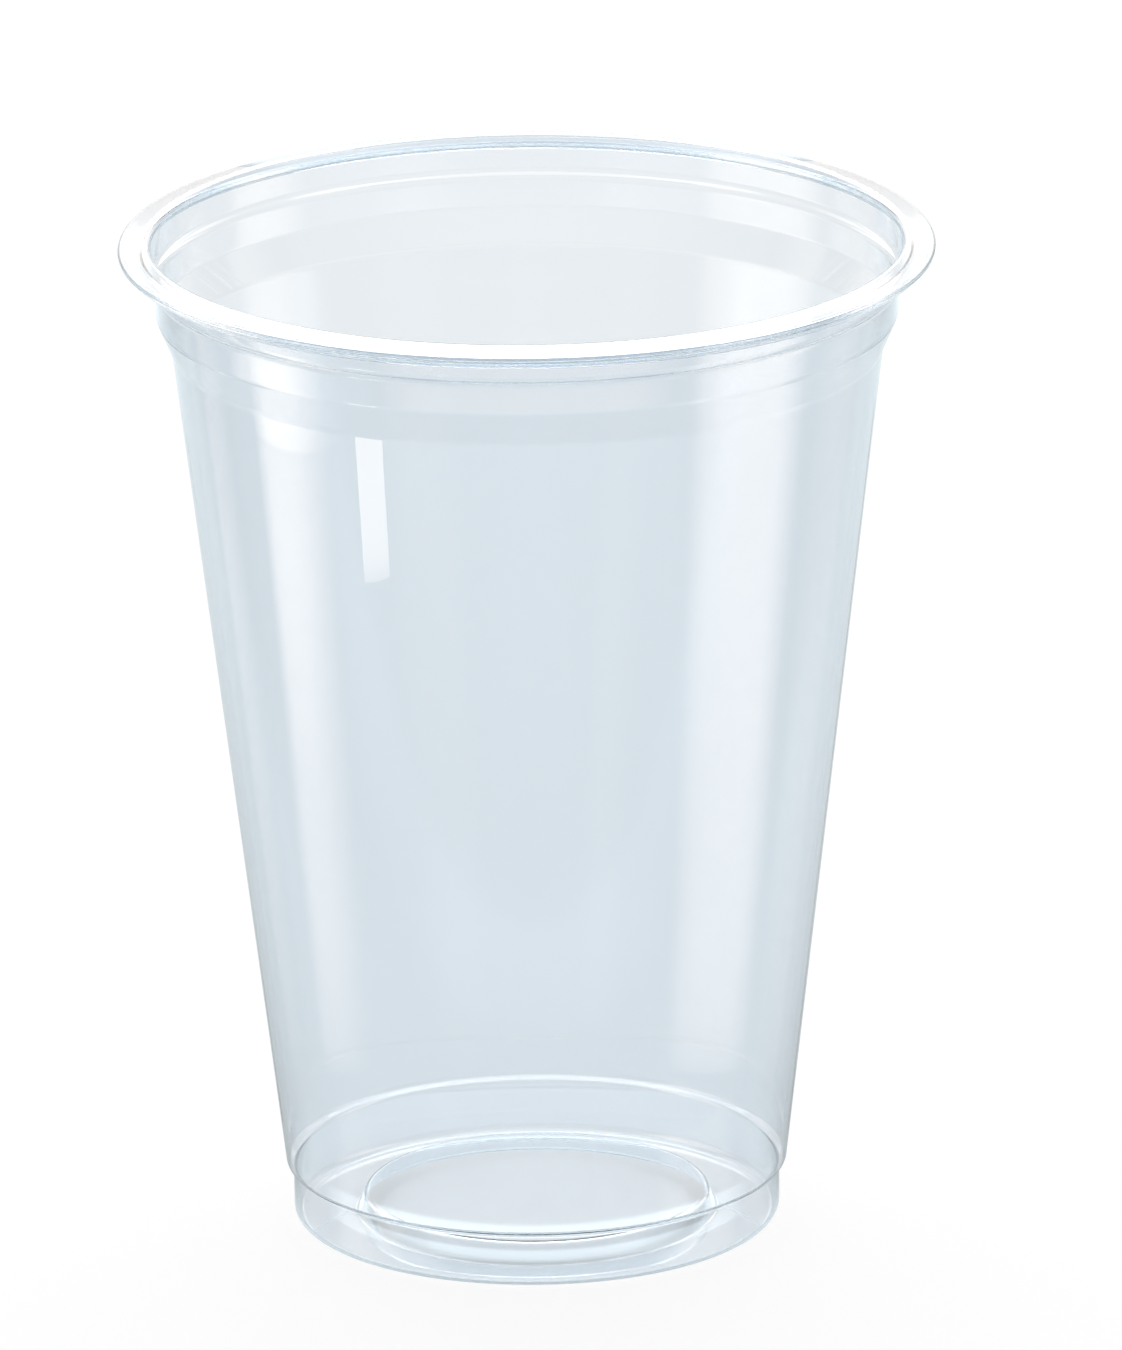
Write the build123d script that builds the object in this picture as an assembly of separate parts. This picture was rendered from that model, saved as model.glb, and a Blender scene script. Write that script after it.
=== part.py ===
"""Clear disposable cold-drink cup, thermoformed in one piece from plastic sheet.

The cup is one skin of even thickness, so its section is drawn as one line, the outside of the
skin, thickened inwards and turned about the upright axis. Millimetres, +Z up. The origin is the
centre of the base, on the plane that the cup stands on.
"""
from build123d import *
from math import ceil, cos, degrees, radians, sin
import os

# Skin
sheet = 0.3  # thickness of the formed skin
flat_turn = 44.0  # a round bend is drawn in flats that each turn by at most this, in degrees

# Overall
rim_diameter = 95.0  # over the outer edge of the rolled rim
cup_height = 119.5  # standing plane to the crown of the rim

# Rolled rim: a lip that falls outwards from its crown to a narrow edge, then rolls in under itself
# and tucks up inside
rim_overhang = 3.55  # outside of the collar to the outer edge
rim_depth = 2.3  # crown to the underside of the roll
rim_slope = 12.0  # fall of the lip, in degrees
crown_radius = 0.5  # underside of the crown
edge_height = 0.32  # upright edge under the lip
edge_radius = 0.2  # inside of the bends at the edge
roll_in = 0.85  # how far the roll closes in from the edge to its floor
roll_radius = 0.4  # inside of the bend into the roll's floor
tuck_gap = 0.65  # clear space between the collar and the tucked edge
tuck_height = 0.7  # height of the tucked edge above the roll's floor

# Neck: a collar under the rim, a small ledge, a straight band and a shoulder
collar_depth = 4.55  # crown of the rim to the outer edge of the ledge
ledge_width = 0.8
ledge_rise = 0.75
neck_height = 4.3  # straight band between the ledge and the shoulder
shoulder_width = 1.77
shoulder_height = 3.77
shoulder_radius = 5.5  # soft bends above and below the shoulder

# Foot: a straight band under the step on which stacked cups part, and a raised panel
foot_diameter = 57.2
foot_height = 6.4
foot_radius = 1.5  # corner between the foot and the standing ring
step_width = 0.84
step_rise = 0.45
standing_width = 7.7  # foot's outside to the edge of the recess, where the cup stands
panel_rise = 2.6  # height of the panel's underside
panel_draft = 0.9  # how far the recess closes in over that height

# Radii and heights of the skin's outside, from the driving sizes
collar = rim_diameter / 2 - rim_overhang
neck = collar - ledge_width
foot = foot_diameter / 2
recess = foot - standing_width
ledge_top = cup_height - collar_depth
ledge_bottom = ledge_top - ledge_rise
shoulder_top = ledge_bottom - neck_height

# The lip's underside is a straight fall, tangent to the arc under the crown
crown_x = collar + crown_radius
crown_z = cup_height - sheet - crown_radius
fall = radians(rim_slope)
edge = rim_diameter / 2 - sheet
roll_floor = cup_height - rim_depth + sheet
tuck = collar + tuck_gap + sheet


def lip_underside(x):
    """Height of the lip's underside at a distance x from the axis."""
    return crown_z + (crown_radius - (x - crown_x) * sin(fall)) / cos(fall)


# The outside of the skin from the middle of the base to the tucked edge: each corner with the
# radius of its bend, which is 0 at a crease
crease = 0
corners = [
    (recess - panel_draft, panel_rise, crease),
    (recess, 0, crease),
    (foot, 0, foot_radius),
    (foot, foot_height, crease),
    (foot + step_width, foot_height + step_rise, crease),
    (neck - shoulder_width, shoulder_top - shoulder_height, shoulder_radius),
    (neck, shoulder_top, shoulder_radius),
    (neck, ledge_bottom, crease),
    (collar, ledge_top, crease),
    (collar, lip_underside(collar), crown_radius),
    (edge, lip_underside(edge), edge_radius),
    (edge, lip_underside(edge) - edge_height, edge_radius),
    (edge - roll_in, roll_floor, roll_radius),
    (tuck, roll_floor, crease),
]
panel_middle = (0, panel_rise)
tucked_edge = (tuck, roll_floor + tuck_height)
outside = FilletPolyline(
    panel_middle,
    *[(x, z) for x, z, _ in corners],
    tucked_edge,
    radius=[radius for _, _, radius in corners],
)


def flats(edge_of_outside):
    """Number of straight runs that a straight or round stretch of the outside is drawn in."""
    if edge_of_outside.geom_type != GeomType.CIRCLE:
        return 1
    turn = degrees(edge_of_outside.length / edge_of_outside.radius)
    return ceil(turn / flat_turn)


outside_points = [outside @ 0]
for stretch in outside.edges():
    count = flats(stretch)
    outside_points += [stretch @ (i / count) for i in range(1, count + 1)]


def inside_of(line):
    """The corners of the skin's inside, one sheet to the left of the corners of its outside."""
    runs = [(end - start).normalized() for start, end in zip(line, line[1:])]
    left = [run.rotate(Axis.Z, 90) for run in runs]
    mitres = [(a + b) / (1 + a.dot(b)) for a, b in zip(left, left[1:])]
    return [point + away * sheet for point, away in zip(line, [left[0], *mitres, left[-1]])]


with BuildPart() as cup:
    with BuildSketch(Plane.XZ):
        with BuildLine():
            Polyline(*outside_points, *reversed(inside_of(outside_points)), close=True)
        make_face()
    revolve(axis=Axis.Z)

os.makedirs("parts", exist_ok=True)
export_step(cup.part, "parts/cup.step")
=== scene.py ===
"""Clear disposable cold-drink cup on a white sweep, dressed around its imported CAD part."""
import math

import bpy
import numpy as np
from mathutils import Matrix, Vector


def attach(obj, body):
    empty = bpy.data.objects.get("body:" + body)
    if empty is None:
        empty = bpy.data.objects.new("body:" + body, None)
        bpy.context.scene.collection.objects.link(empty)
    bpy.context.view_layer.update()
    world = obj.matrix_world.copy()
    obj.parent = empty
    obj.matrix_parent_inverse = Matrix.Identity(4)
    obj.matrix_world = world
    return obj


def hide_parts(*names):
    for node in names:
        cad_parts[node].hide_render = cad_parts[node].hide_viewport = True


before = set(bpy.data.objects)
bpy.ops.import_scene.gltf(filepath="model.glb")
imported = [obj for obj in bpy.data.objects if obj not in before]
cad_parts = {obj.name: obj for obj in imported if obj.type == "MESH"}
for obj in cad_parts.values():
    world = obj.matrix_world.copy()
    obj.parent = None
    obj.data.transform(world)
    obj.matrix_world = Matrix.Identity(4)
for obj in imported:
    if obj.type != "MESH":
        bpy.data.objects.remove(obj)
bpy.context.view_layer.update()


# The cup is one skin of clear PET, drawn hot from flat sheet down into a cold mould, so its bends are
# small and soft and its wall is a little uneven. The trimmed edge at the top is then heated and
# rolled under itself. Sizes in millimetres are the CAD part's, but for the shoulder and the bends.
MM = 0.001
SHEET = 0.3
RIM = 95.0 / 2
HEIGHT = 119.5
RIM_OVERHANG = 3.55
RIM_DEPTH = 2.3
RIM_FALL = math.radians(12.0)
CROWN_RADIUS = 0.5
EDGE_HEIGHT = 0.32
EDGE_RADIUS = 0.2
ROLL_IN = 0.85
ROLL_RADIUS = 0.4
TUCK_GAP = 0.65
TUCK_HEIGHT = 0.7
COLLAR_DEPTH = 4.55
LEDGE_WIDTH = 0.8
LEDGE_RISE = 0.75
LEDGE_RADIUS = 0.9
SHOULDER_START = 3.5  # below the ledge
SHOULDER_END = 7.67  # below the ledge
SHOULDER_WIDTH = 1.77
SHOULDER_TOP_RADIUS = 1.4
SHOULDER_BOTTOM_RADIUS = 2.5
FOOT = 57.2 / 2
FOOT_HEIGHT = 6.4
FOOT_RADIUS = 1.5
STEP_WIDTH = 0.84
STEP_RISE = 0.45
STEP_RADIUS = 0.35
STANDING_WIDTH = 7.7
PANEL_RISE = 2.6
PANEL_DRAFT = 0.9
PANEL_RADIUS = 0.5
SEGMENTS = 336

# Radii and heights of the skin's outside, worked out from those sizes
COLLAR = RIM - RIM_OVERHANG
EDGE = RIM - SHEET
ROLL_FLOOR = HEIGHT - RIM_DEPTH + SHEET
TUCK = COLLAR + TUCK_GAP + SHEET
LEDGE_TOP = HEIGHT - COLLAR_DEPTH
LEDGE_BOTTOM = LEDGE_TOP - LEDGE_RISE
NECK = COLLAR - LEDGE_WIDTH
SHOULDER_TOP = LEDGE_BOTTOM - SHOULDER_START
SHOULDER_BOTTOM = LEDGE_BOTTOM - SHOULDER_END
WALL_TOP = NECK - SHOULDER_WIDTH
RECESS = FOOT - STANDING_WIDTH


def lip_underside(x):
    """Height of the rim's sloping lip, on its underside, at a distance x from the axis."""
    crown_x = COLLAR + CROWN_RADIUS
    crown_z = HEIGHT - SHEET - CROWN_RADIUS
    return crown_z + (CROWN_RADIUS - (x - crown_x) * math.sin(RIM_FALL)) / math.cos(RIM_FALL)


def bent_line(start, corners, end, arc_step=math.radians(13), run=3.2):
    """Points and left-hand normals, as complex x + iz, along a line that bends at each corner.

    A corner is its x, its z and the radius of its bend. The points are at most arc_step apart in a
    bend, and at most run apart in a straight stretch.
    """
    points, normals = [complex(*start)], []
    stops = [complex(x, z) for x, z, _ in corners] + [complex(*end)]
    direction = (stops[0] - points[0]) / abs(stops[0] - points[0])
    normals.append(1j * direction)

    def go_straight(to):
        """Adds the points of a straight stretch."""
        pieces = max(1, math.ceil(abs(to - points[-1]) / run))
        begin = points[-1]
        for k in range(1, pieces + 1):
            points.append(begin + (to - begin) * k / pieces)
            normals.append(1j * direction)

    for (x, z, radius), following in zip(corners, stops[1:]):
        corner = complex(x, z)
        ahead = (following - corner) / abs(following - corner)
        turn = float(np.angle(ahead / direction))
        side = math.copysign(1.0, turn)
        go_straight(corner - direction * radius * math.tan(abs(turn) / 2))
        hub = points[-1] + side * radius * normals[-1]
        spoke = points[-1] - hub
        normal = normals[-1]
        pieces = max(2, math.ceil(abs(turn) / arc_step))
        for k in range(1, pieces + 1):
            swing = complex(np.exp(1j * turn * k / pieces))
            points.append(hub + spoke * swing)
            normals.append(normal * swing)
        direction = ahead
    go_straight(stops[-1])
    return np.array(points), np.array(normals)


# The outside of the skin from the middle of the base to the tucked edge of the rim. A small bend
# whose hollow is on the inside of the cup is drawn larger by the sheet, so both faces stay round.
outside, inward = bent_line(
    (0.0, PANEL_RISE),
    [
        (RECESS - PANEL_DRAFT, PANEL_RISE, PANEL_RADIUS),
        (RECESS, 0.0, PANEL_RADIUS + SHEET),
        (FOOT, 0.0, FOOT_RADIUS),
        (FOOT, FOOT_HEIGHT, STEP_RADIUS),
        (FOOT + STEP_WIDTH, FOOT_HEIGHT + STEP_RISE, STEP_RADIUS + SHEET),
        (WALL_TOP, SHOULDER_BOTTOM, SHOULDER_BOTTOM_RADIUS),
        (NECK, SHOULDER_TOP, SHOULDER_TOP_RADIUS),
        (NECK, LEDGE_BOTTOM, LEDGE_RADIUS),
        (COLLAR, LEDGE_TOP, LEDGE_RADIUS + SHEET),
        (COLLAR, lip_underside(COLLAR), CROWN_RADIUS),
        (EDGE, lip_underside(EDGE), EDGE_RADIUS),
        (EDGE, lip_underside(EDGE) - EDGE_HEIGHT, EDGE_RADIUS),
        (EDGE - ROLL_IN, ROLL_FLOOR, ROLL_RADIUS),
        (TUCK, ROLL_FLOOR, ROLL_RADIUS),
    ],
    (TUCK, ROLL_FLOOR + TUCK_HEIGHT),
)
inside = outside + SHEET * inward
line = np.concatenate([outside, inside[::-1]])
facing = np.concatenate([-inward, inward[::-1]])
travelled = np.abs(np.diff(outside, prepend=outside[0])).cumsum()
along = np.concatenate([travelled, travelled[::-1]])
trim = np.clip((along - along.max() + TUCK_HEIGHT) / TUCK_HEIGHT, 0, 1)

# Slow unevenness of the cooled skin: the wall is out of round towards the rim, and the trimmed edge
# wanders. Each wave is its swing in millimetres, its number around the cup and its phase.
OVAL_WAVES = [(0.10, 2, 0.6), (0.05, 3, 2.0), (0.02, 7, 1.1)]
TRIM_WAVES = [(0.04, 5, 0.4), (0.03, 9, 1.9), (0.01, 17, 0.0)]
angle = np.arange(SEGMENTS) * 2 * math.pi / SEGMENTS
oval = sum(swing * np.cos(waves * angle + phase) for swing, waves, phase in OVAL_WAVES)
wander = sum(swing * np.sin(waves * angle + phase) for swing, waves, phase in TRIM_WAVES)
lift = np.clip(line.imag / HEIGHT, 0, 1)[:, None] ** 2
off_axis = np.where(line.real > 1e-6, 1, 0)[:, None]
radius = line.real[:, None] + off_axis * lift * oval[None, :]
height = line.imag[:, None] + trim[:, None] * wander[None, :]
rings = np.stack([radius * np.cos(angle), radius * np.sin(angle), height], axis=-1) * MM
ring_normals = np.stack(
    [
        facing.real[:, None] * np.cos(angle),
        facing.real[:, None] * np.sin(angle),
        np.repeat(facing.imag[:, None], SEGMENTS, axis=1),
    ],
    axis=-1,
)

# The first and last points lie on the axis: each is one vertex in a fan of triangles
poles = rings[[0, -1], 0]
count = len(line) - 2
vertices = np.concatenate([rings[1:-1].reshape(-1, 3), poles])
normals = np.concatenate([ring_normals[1:-1].reshape(-1, 3), ring_normals[[0, -1], 0]])
step = np.arange(SEGMENTS)
onward = (step + 1) % SEGMENTS
faces = []
for row in range(count - 1):
    low, high = row * SEGMENTS, (row + 1) * SEGMENTS
    faces += np.stack([low + step, low + onward, high + onward, high + step], axis=-1).tolist()
last = (count - 1) * SEGMENTS
under_pole, upper_pole = count * SEGMENTS, count * SEGMENTS + 1
faces += [[under_pole, int(b), int(a)] for a, b in zip(step, onward)]
faces += [[upper_pole, int(last + a), int(last + b)] for a, b in zip(step, onward)]
skin = bpy.data.meshes.new("cup_skin")
skin.from_pydata(vertices.tolist(), [], faces)
skin.polygons.foreach_set("use_smooth", np.ones(len(skin.polygons), bool))
skin.update()
skin.normals_split_custom_set_from_vertices(normals.tolist())
cup = bpy.data.objects.new("clear_cup", skin)
bpy.context.scene.collection.objects.link(cup)


def linear(hex_colour):
    """A linear colour with alpha from an sRGB hex value."""
    parts = [int(hex_colour[i : i + 2], 16) / 255 for i in (1, 3, 5)]
    return [c / 12.92 if c <= 0.04045 else ((c + 0.055) / 1.055) ** 2.4 for c in parts] + [1.0]


def node(tree, kind, values=None, links=None, levels=None, **settings):
    """Adds a node with its settings, its input values and the sockets that feed its inputs.

    levels are the (at, level) pairs that a curve runs through. The curve holds each level as a share
    of the highest, and a second node multiplies by that one, so a level may be above 1.
    """
    made = tree.nodes.new(kind)
    for name, value in settings.items():
        setattr(made, name, value)
    for name, value in (values or {}).items():
        made.inputs[name].default_value = value
    for name, socket in (links or {}).items():
        tree.links.new(socket, made.inputs[name])
    if not levels:
        return made
    most = max(level for _, level in levels)
    shares = [(at, level / most) for at, level in levels]
    made.mapping.extend = "HORIZONTAL"
    points = made.mapping.curves[0].points
    for at, share in shares[1:-1]:
        points.new(at, share)
    points[0].location = shares[0]
    points[-1].location = shares[-1]
    made.mapping.update()
    return node(tree, "ShaderNodeMath", {1: most}, {0: made.outputs[0]}, operation="MULTIPLY")


# Thermoformed clear PET: bright gloss on both faces, a faint blue-grey cast that deepens where the
# eye looks along the skin, and fine upright streaks where the sheet was stretched down the mould.
# The streaks, in millimetres, fade out at the foot and below the shoulder.
STREAK_WIDTH = 4.0
STREAK_LENGTH = 160.0
STREAK_DEPTH = 0.010
STREAKS_START = (9, 16)
STREAKS_END = (96, 104)
WALL_RADIUS = 36.0
pet = bpy.data.materials.new("thermoformed_clear_pet")
pet.use_nodes = True
tree = pet.node_tree
tree.nodes.clear()
place = node(tree, "ShaderNodeTexCoord").outputs["Object"]
flat = node(tree, "ShaderNodeVectorMath", {1: (1, 1, 0)}, {0: place}, operation="MULTIPLY").outputs[0]
around = node(tree, "ShaderNodeVectorMath", links={0: flat}, operation="NORMALIZE").outputs[0]
upright = node(
    tree,
    "ShaderNodeVectorMath",
    {1: (0, 0, STREAK_WIDTH / STREAK_LENGTH / (WALL_RADIUS * MM))},
    {0: place},
    operation="MULTIPLY",
).outputs[0]
drawn = node(tree, "ShaderNodeVectorMath", links={0: around, 1: upright}, operation="ADD").outputs[0]
streaks = node(
    tree,
    "ShaderNodeTexNoise",
    {"Scale": WALL_RADIUS / STREAK_WIDTH, "Detail": 2.0, "Roughness": 0.5},
    {"Vector": drawn},
).outputs[0]
level = node(tree, "ShaderNodeSeparateXYZ", links={0: place}).outputs["Z"]
below_shoulder = node(
    tree,
    "ShaderNodeMapRange",
    {"From Min": STREAKS_END[0] * MM, "From Max": STREAKS_END[1] * MM, "To Min": 1.0, "To Max": 0.0},
    {"Value": level},
).outputs[0]
above_foot = node(
    tree,
    "ShaderNodeMapRange",
    {"From Min": STREAKS_START[0] * MM, "From Max": STREAKS_START[1] * MM, "To Min": 0.0, "To Max": 1.0},
    {"Value": level},
).outputs[0]
on_wall = node(
    tree, "ShaderNodeMath", links={0: below_shoulder, 1: above_foot}, operation="MULTIPLY"
).outputs[0]
stretched = node(
    tree, "ShaderNodeBump", {"Distance": STREAK_DEPTH * MM}, {"Height": streaks, "Strength": on_wall}
).outputs[0]
surface = node(
    tree,
    "ShaderNodeBsdfPrincipled",
    {"Base Color": linear("#EEF3F7"), "Roughness": 0.0, "IOR": 1.575, "Transmission Weight": 1.0},
    {"Normal": stretched},
).outputs[0]
cast = node(
    tree, "ShaderNodeVolumeAbsorption", {"Color": linear("#2F8EB4"), "Density": 40.0}
).outputs[0]
node(tree, "ShaderNodeOutputMaterial", links={"Surface": surface, "Volume": cast})
skin.materials.append(pet)
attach(cup, "root")
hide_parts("cup")


# The floor is a sweep of matt white paper. What looks at it, straight or through the plastic, sees
# white with a painted shadow ring around the raised panel, and a faint real shadow of the cup in its
# matt share. In a reflection it is painted a shade bluer, with painted shade around the cup and at
# the sides, and a painted pool of light close in front of the foot, which draws the clear wall.
SWEEP = 6.0
FLOOR_GAP = 0.02 * MM  # keeps the paper clear of the standing ring
floor_mesh = bpy.data.meshes.new("sweep")
floor_mesh.from_pydata(
    [(-SWEEP, -SWEEP, 0), (SWEEP, -SWEEP, 0), (SWEEP, SWEEP, 0), (-SWEEP, SWEEP, 0)], [], [(0, 1, 2, 3)]
)
floor = bpy.data.objects.new("sweep", floor_mesh)
floor.location.z = -FLOOR_GAP
bpy.context.scene.collection.objects.link(floor)
paper = bpy.data.materials.new("matt_white_paper")
paper.use_nodes = True
tree = paper.node_tree
tree.nodes.clear()
path = node(tree, "ShaderNodeLightPath").outputs
spot = node(tree, "ShaderNodeTexCoord").outputs["Object"]
away = node(tree, "ShaderNodeVectorMath", links={0: spot}, operation="LENGTH").outputs["Value"]
on_floor = node(tree, "ShaderNodeSeparateXYZ", links={0: spot}).outputs
# 1 for a ray that a glossy face has thrown back at least once
mirrored = node(
    tree, "ShaderNodeMath", {1: 0.5}, {0: path["Glossy Depth"]}, operation="GREATER_THAN"
).outputs[0]

# Painted shade and light on the paper in a reflection: how bright it is, by its distance from the
# axis in metres
PAINTED_REFLECTION_SHADE = [
    (0, 1.4), (0.0235, 1.4), (0.0275, 0.95), (0.0314, 0.58), (0.0353, 0.45), (0.05, 0.49),
    (0.09, 0.55), (0.15, 0.61), (0.28, 0.75), (0.43, 0.98), (0.6, 1.15), (1, 1.21),
]
painted_reflection = node(tree, "ShaderNodeFloatCurve", links={"Value": away}, levels=PAINTED_REFLECTION_SHADE).outputs[0]
# Painted shade in a reflection: the paper dims towards the sides
aside = node(tree, "ShaderNodeMath", links={0: on_floor["X"]}, operation="ABSOLUTE").outputs[0]
aside = node(
    tree,
    "ShaderNodeMapRange",
    {"From Min": 0.12, "From Max": 0.3, "To Min": 1.0, "To Max": 0.5},
    {"Value": aside},
    interpolation_type="SMOOTHSTEP",
).outputs[0]
painted_reflection = node(tree, "ShaderNodeMath", links={0: painted_reflection, 1: aside}, operation="MULTIPLY").outputs[0]

# Painted shade and light in a reflection: its share of that from half a metre in front of the cup
# to half a metre behind it
PAINTED_FRONT_TO_BACK = [
    (0, 0.15), (0.1, 0.3), (0.2, 0.8), (0.28, 1.35), (0.36, 1.25), (0.42, 0.9), (0.5, 1),
    (0.56, 1.03), (1, 1.03),
]
backward = node(tree, "ShaderNodeMath", {1: 0.5}, {0: on_floor["Y"]}, operation="ADD").outputs[0]
backward = node(
    tree, "ShaderNodeFloatCurve", links={"Value": backward}, levels=PAINTED_FRONT_TO_BACK
).outputs[0]
painted_reflection = node(tree, "ShaderNodeMath", links={0: painted_reflection, 1: backward}, operation="MULTIPLY").outputs[0]

# A painted pool of light on the paper close in front of the foot, seen only in a reflection, by its
# distance from the axis as a share of FOOT_REACH
FOOT_REACH = 0.06
PAINTED_FOOT_LIGHT = [(0, 0), (0.615, 0), (0.64, 3.2), (0.68, 3.2), (0.705, 0.7), (0.72, 0), (1, 0)]
close = node(tree, "ShaderNodeMath", {1: 1 / FOOT_REACH}, {0: away}, operation="MULTIPLY").outputs[0]
close = node(tree, "ShaderNodeFloatCurve", links={"Value": close}, levels=PAINTED_FOOT_LIGHT).outputs[0]
before_foot = node(
    tree,
    "ShaderNodeMapRange",
    {"From Min": -30 * MM, "From Max": -8 * MM, "To Min": 1.0, "To Max": 0.0},
    {"Value": on_floor["Y"]},
).outputs[0]
close = node(tree, "ShaderNodeMath", links={0: close, 1: before_foot}, operation="MULTIPLY").outputs[0]
painted_reflection = node(tree, "ShaderNodeMath", links={0: painted_reflection, 1: close}, operation="ADD").outputs[0]
glow = node(
    tree, "ShaderNodeMix", {"A": 1.0}, {"Factor": mirrored, "B": painted_reflection}, data_type="FLOAT"
).outputs[0]

# A painted shadow ring around the raised panel, where the cup starts to stand on the paper, by the
# distance from the axis as a share of CONTACT_REACH. It is fainter at the back.
CONTACT_REACH = 0.03
PAINTED_CONTACT_SHADOW = [
    (0, 1), (0.5, 1), (0.55, 0.97), (0.6, 0.86), (0.65, 0.63), (0.683, 0.66), (0.71, 0.8),
    (0.75, 0.95), (0.79, 1), (1, 1),
]
under = node(tree, "ShaderNodeMath", {1: 1 / CONTACT_REACH}, {0: away}, operation="MULTIPLY").outputs[0]
painted_contact_shadow = node(tree, "ShaderNodeFloatCurve", links={"Value": under}, levels=PAINTED_CONTACT_SHADOW).outputs[0]
at_back = node(
    tree,
    "ShaderNodeMapRange",
    {"From Min": 4 * MM, "From Max": 16 * MM, "To Min": 0.0, "To Max": 0.8},
    {"Value": on_floor["Y"]},
).outputs[0]
painted_contact_shadow = node(
    tree, "ShaderNodeMix", {"B": 1.0}, {"Factor": at_back, "A": painted_contact_shadow}, data_type="FLOAT"
).outputs[0]
glow = node(tree, "ShaderNodeMath", links={0: glow, 1: painted_contact_shadow}, operation="MULTIPLY").outputs[0]

# Nine tenths of what the eye meets is the paper's white with the painted shade and light above, and
# the rest takes real light and shadow
OWN_WHITE = 0.9
seen = node(
    tree, "ShaderNodeMath", links={0: path["Is Camera Ray"], 1: path["Is Glossy Ray"]}, operation="MAXIMUM"
).outputs[0]
seen = node(
    tree, "ShaderNodeMath", links={0: seen, 1: path["Is Transmission Ray"]}, operation="MAXIMUM"
).outputs[0]
own = node(tree, "ShaderNodeMath", {1: OWN_WHITE}, {0: seen}, operation="MULTIPLY").outputs[0]
# Painted tint: in a reflection the paper is a shade bluer
tone = node(
    tree,
    "ShaderNodeMix",
    {"A": linear("#FFFFFF"), "B": linear("#EEFAFF")},
    {"Factor": mirrored},
    data_type="RGBA",
).outputs["Result"]
white = node(tree, "ShaderNodeEmission", links={"Color": tone, "Strength": glow}).outputs[0]
matt = node(tree, "ShaderNodeBsdfDiffuse", {"Color": linear("#F4F4F4")}).outputs[0]
mixed = node(tree, "ShaderNodeMixShader", links={0: own, 1: matt, 2: white}).outputs[0]
node(tree, "ShaderNodeOutputMaterial", links={"Surface": mixed})
floor_mesh.materials.append(paper)


# The room is a white studio, darker overhead. A reflection finds it warmer, dim on the camera's side,
# bright above the horizon behind, where the lip and the base look, and bright again high up, which
# lights the crown of the rim. Levels are by how far a direction rises, from 0 level to 1 straight up.
BEHIND = [
    (0, 1.0), (0.19, 1.4), (0.23, 3.4), (0.27, 2.8), (0.33, 1.7), (0.4, 1.8), (0.5, 2.8), (0.7, 3.0),
    (0.8, 0.6), (1, 0.6),
]
AHEAD = [(0, 0), (0.84, 0), (0.9, 1.3), (0.985, 1.3), (1, 0)]
OVERHEAD = [(0, 0), (0.72, 0), (0.8, 2.2), (0.9, 2.4), (1, 2.4)]
world = bpy.data.worlds.new("studio")
bpy.context.scene.world = world
world.use_nodes = True
tree = world.node_tree
tree.nodes.clear()
bearing = node(tree, "ShaderNodeTexCoord").outputs["Generated"]
toward = node(tree, "ShaderNodeSeparateXYZ", links={0: bearing}).outputs
plain = node(
    tree,
    "ShaderNodeMapRange",
    {"From Min": 0.35, "From Max": 0.6, "To Min": 1.0, "To Max": 0.45},
    {"Value": toward["Z"]},
    interpolation_type="SMOOTHSTEP",
).outputs[0]
behind = node(
    tree,
    "ShaderNodeMapRange",
    {"From Min": 0.35, "From Max": 0.8, "To Min": 0.25, "To Max": 1.0},
    {"Value": toward["Y"]},
    interpolation_type="SMOOTHSTEP",
).outputs[0]
ahead = node(
    tree,
    "ShaderNodeMapRange",
    {"From Min": -0.16, "From Max": 0.0, "To Min": 1.0, "To Max": 0.0},
    {"Value": toward["Y"]},
).outputs[0]
over = node(
    tree,
    "ShaderNodeMapRange",
    {"From Min": -0.16, "From Max": -0.05, "To Min": 0.0, "To Max": 1.0},
    {"Value": toward["Y"]},
).outputs[0]
parts = []
for levels, where in ((BEHIND, behind), (AHEAD, ahead), (OVERHEAD, over)):
    rise = node(tree, "ShaderNodeFloatCurve", links={"Value": toward["Z"]}, levels=levels).outputs[0]
    parts.append(node(tree, "ShaderNodeMath", links={0: rise, 1: where}, operation="MULTIPLY").outputs[0])
lifted = node(tree, "ShaderNodeMath", links={0: parts[0], 1: parts[1]}, operation="ADD").outputs[0]
lifted = node(tree, "ShaderNodeMath", links={0: lifted, 1: parts[2]}, operation="ADD").outputs[0]
bounced = node(tree, "ShaderNodeLightPath").outputs["Glossy Depth"]
mirrored = node(tree, "ShaderNodeMath", {1: 0.5}, {0: bounced}, operation="GREATER_THAN").outputs[0]
strength = node(
    tree, "ShaderNodeMix", links={"Factor": mirrored, "A": plain, "B": lifted}, data_type="FLOAT"
).outputs[0]
tone = node(
    tree,
    "ShaderNodeMix",
    {"A": linear("#FFFFFF"), "B": linear("#FFF6EF")},
    {"Factor": mirrored},
    data_type="RGBA",
).outputs["Result"]
sky = node(tree, "ShaderNodeBackground", links={"Color": tone, "Strength": strength}).outputs[0]
node(tree, "ShaderNodeOutputWorld", links={"Surface": sky})


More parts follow.
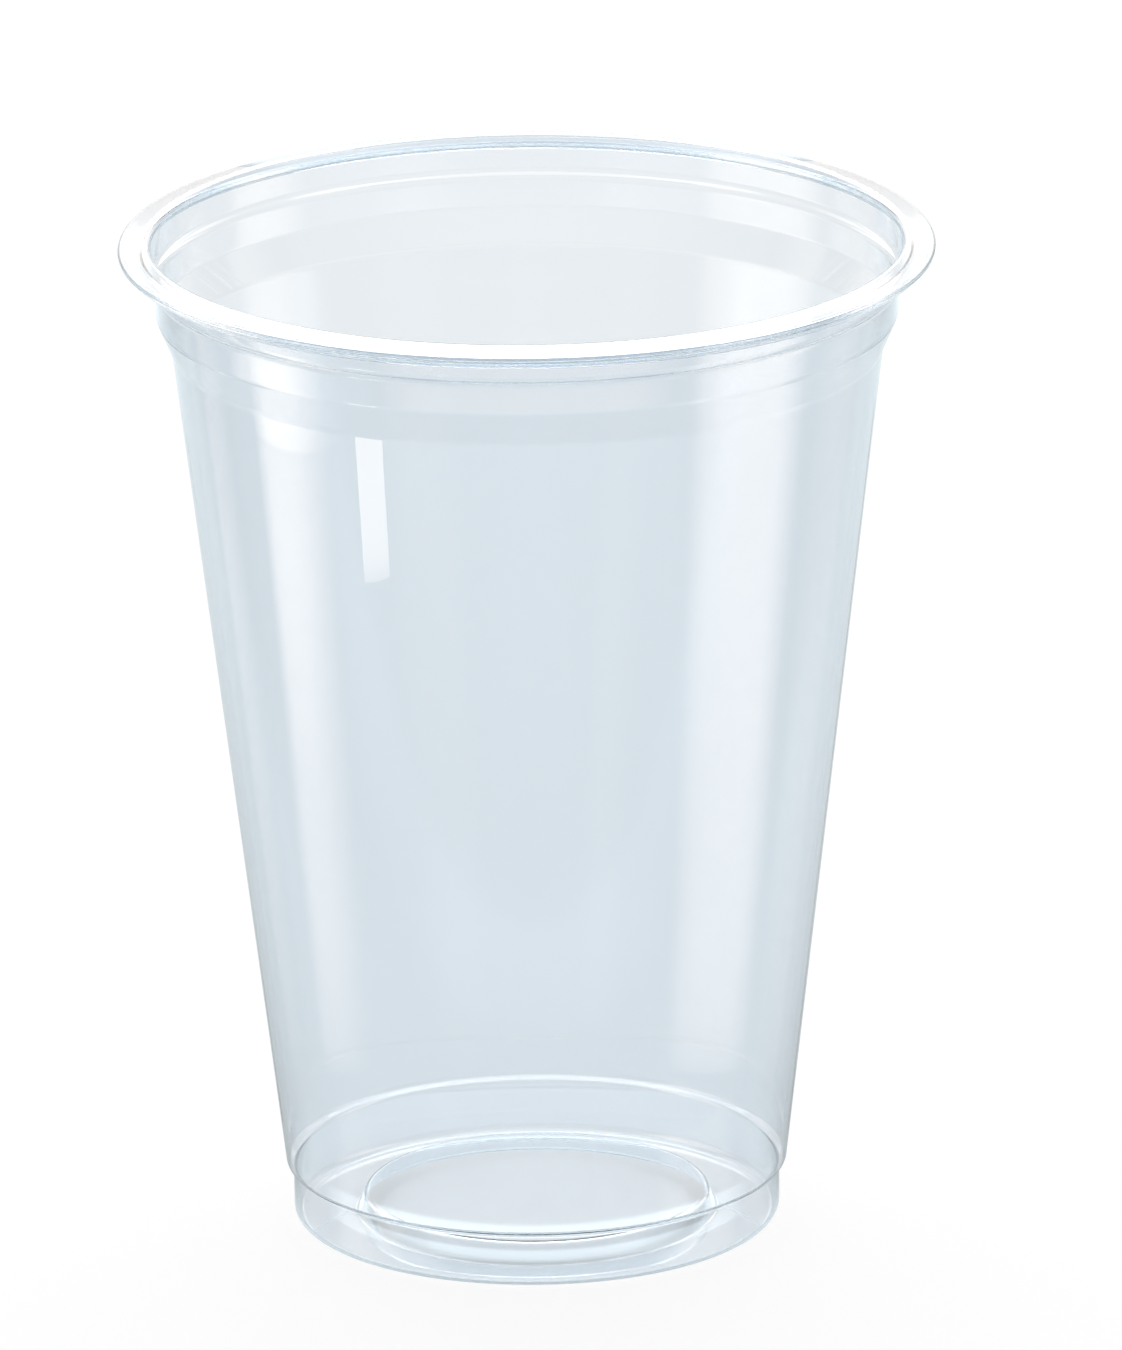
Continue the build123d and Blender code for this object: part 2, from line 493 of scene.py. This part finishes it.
# The softboxes: cards of lit white cloth around the cup, which lie in its polished wall as two upright
# strips, a narrow window, a glint on the neck and a pale patch, and an overhead one that lights the
# sweep. Each card shows only in what the far wall reflects, or only in the near wall's outer face.
def softbox(name, bearings, foot, head, spread, across, up, far=True):
    """A leaning card that adds its glow to what is behind it.

    bearings are those of its lower and upper edges about the axis from the camera's side, and spread
    its half width, in degrees. foot and head are the distance from the axis and the height of those
    edges in metres. across and up list its brightness over its width, from the edge nearer the camera,
    and over its height. A far card shows in the far wall, seen through the near one, and a card that is
    not far shows in the near wall.
    """
    rows = 16
    vertices, faces, marks = [], [], []
    turned = math.copysign(1.0, bearings[0])
    for k in range(rows + 1):
        share = k / rows
        out = foot[0] + (head[0] - foot[0]) * share
        level = foot[1] + (head[1] - foot[1]) * share
        for side in (0, 1):
            bearing = bearings[0] + (bearings[1] - bearings[0]) * share + turned * spread * (2 * side - 1)
            a = math.radians(bearing)
            vertices.append((math.sin(a) * out, -math.cos(a) * out, level))
            marks.append((side, share))
        if k:
            faces.append((2 * k - 2, 2 * k - 1, 2 * k + 1, 2 * k))
    mesh = bpy.data.meshes.new(name)
    mesh.from_pydata(vertices, [], faces)
    spread_out = mesh.uv_layers.new(name="card")
    for loop in mesh.loops:
        spread_out.data[loop.index].uv = marks[loop.vertex_index]
    card = bpy.data.objects.new(name, mesh)
    bpy.context.scene.collection.objects.link(card)
    glow = bpy.data.materials.new(name)
    glow.use_nodes = True
    tree = glow.node_tree
    tree.nodes.clear()
    path = node(tree, "ShaderNodeLightPath").outputs
    power = node(
        tree, "ShaderNodeMath", {1: 0.5}, {0: path["Glossy Depth"]}, operation="GREATER_THAN"
    ).outputs[0]
    faces_passed, test = (2.5, "GREATER_THAN") if far else (0.5, "LESS_THAN")
    through = node(
        tree, "ShaderNodeMath", {1: faces_passed}, {0: path["Transmission Depth"]}, operation=test
    ).outputs[0]
    power = node(tree, "ShaderNodeMath", links={0: power, 1: through}, operation="MULTIPLY").outputs[0]
    card_place = node(tree, "ShaderNodeTexCoord").outputs["UV"]
    mark = node(tree, "ShaderNodeSeparateXYZ", links={0: card_place}).outputs
    for levels, socket in ((across, mark["X"]), (up, mark["Y"])):
        lit = node(tree, "ShaderNodeFloatCurve", links={"Value": socket}, levels=levels).outputs[0]
        power = node(tree, "ShaderNodeMath", links={0: power, 1: lit}, operation="MULTIPLY").outputs[0]
    colour = linear("#FFE2CC") if far else linear("#FFEEE1")
    light = node(tree, "ShaderNodeEmission", {"Color": colour}, {"Strength": power}).outputs[0]
    clear = node(tree, "ShaderNodeBsdfTransparent").outputs[0]
    both = node(tree, "ShaderNodeAddShader", links={0: light, 1: clear}).outputs[0]
    node(tree, "ShaderNodeOutputMaterial", links={"Surface": both})
    glow.cycles.emission_sampling = "NONE"
    mesh.materials.append(glow)
    card.visible_shadow = False


softbox(
    "right_softbox",
    bearings=(120, 101),
    foot=(0.052, 0.0),
    head=(0.115, 0.13),
    spread=20,
    across=[(0, 0), (0.1, 0.22), (0.25, 0.56), (0.4, 0.83), (0.6, 1), (0.78, 0.93), (0.9, 0.5), (1, 0)],
    up=[(0, 0), (0.07, 1.45), (0.25, 2.35), (0.37, 3.05), (0.52, 3.75), (0.62, 3.55), (0.7, 2.6), (1, 2.6)],
)
softbox(
    "left_softbox",
    bearings=(-107, -94),
    foot=(0.052, 0.0),
    head=(0.115, 0.13),
    spread=30,
    across=[
        (0, 0), (0.075, 0.3), (0.16, 0.68), (0.24, 0.85), (0.33, 1), (0.7, 1), (0.78, 0.88), (0.88, 0.5),
        (1, 0),
    ],
    up=[(0, 0), (0.07, 1.95), (0.25, 2.6), (0.37, 2.85), (0.52, 3.1), (0.62, 3.45), (0.7, 3.8), (1, 3.8)],
)
softbox(
    "window",
    bearings=(-51, -51),
    foot=(0.193, 0.0005),
    head=(0.235, 0.0005),
    spread=4.7,
    across=[(0, 1), (0.5, 1), (1, 1)],
    up=[(0, 1.3), (0.15, 3.2), (0.3, 3.7), (1, 3.7)],
    far=False,
)
softbox(
    "neck_softbox",
    bearings=(-70, -70),
    foot=(0.1, 0.071),
    head=(0.1, 0.097),
    spread=16,
    across=[(0, 0), (0.2, 0.6), (0.4, 1), (0.75, 1), (0.9, 0.5), (1, 0)],
    up=[(0, 0), (0.3, 2), (0.5, 2), (1, 2)],
    far=False,
)
softbox(
    "front_softbox",
    bearings=(0, 0),
    foot=(0.467, 0.0005),
    head=(0.684, 0.0005),
    spread=50,
    across=[(0, 0), (0.15, 0.5), (0.3, 1), (0.7, 1), (0.85, 0.5), (1, 0)],
    up=[(0, 0), (0.2, 1.4), (0.5, 1.4), (1, 1.4)],
    far=False,
)

WATTS_PER_SQUARE_METRE = 12.0
TOP_PLACE = Vector((0.0, 0.45, 0.85))
TOP_AIM = Vector((0, 0, 0.06))
top_light = bpy.data.lights.new("overhead_softbox", "AREA")
top_light.shape = "RECTANGLE"
top_light.size = 1.0
top_light.size_y = 0.8
top_light.energy = WATTS_PER_SQUARE_METRE * top_light.size * top_light.size_y
top = bpy.data.objects.new("overhead_softbox", top_light)
top.location = TOP_PLACE
top.rotation_euler = (TOP_AIM - TOP_PLACE).to_track_quat("-Z", "Y").to_euler()
top.visible_camera = False
top.visible_glossy = False
bpy.context.scene.collection.objects.link(top)


# The camera stands well back with a long lens, a little above the rim, as for a picture in a catalogue.
# It is moved sideways and up, and rolled by a fraction of a degree, to frame the cup.
LENS = 555.7
DISTANCE = 2.441
ELEVATION = math.radians(17.44)
ROLL = math.radians(-0.6)
SIDEWAYS = 3.41 * MM
UPWARDS = 5.77 * MM
aim = Vector((0, 0, 60 * MM))
back = Vector((0, -math.cos(ELEVATION), math.sin(ELEVATION)))
turned = (-back).to_track_quat("-Z", "Y").to_matrix().to_4x4() @ Matrix.Rotation(ROLL, 4, "Z")
right, up = turned.col[0].to_3d(), turned.col[1].to_3d()
lens = bpy.data.cameras.new("camera")
lens.sensor_width = 36.0
lens.lens = LENS
lens.clip_end = 20.0
camera = bpy.data.objects.new("camera", lens)
camera.matrix_world = Matrix.Translation(aim + back * DISTANCE + right * SIDEWAYS + up * UPWARDS) @ turned
bpy.context.scene.collection.objects.link(camera)
bpy.context.scene.camera = camera

# A ray that is to leave the rolled rim again passes many faces of clear plastic
bpy.context.scene.cycles.max_bounces = 32
bpy.context.scene.cycles.transmission_bounces = 32
bpy.context.scene.cycles.glossy_bounces = 24
bpy.context.scene.cycles.transparent_max_bounces = 32
bpy.context.scene.view_settings.view_transform = "Standard"
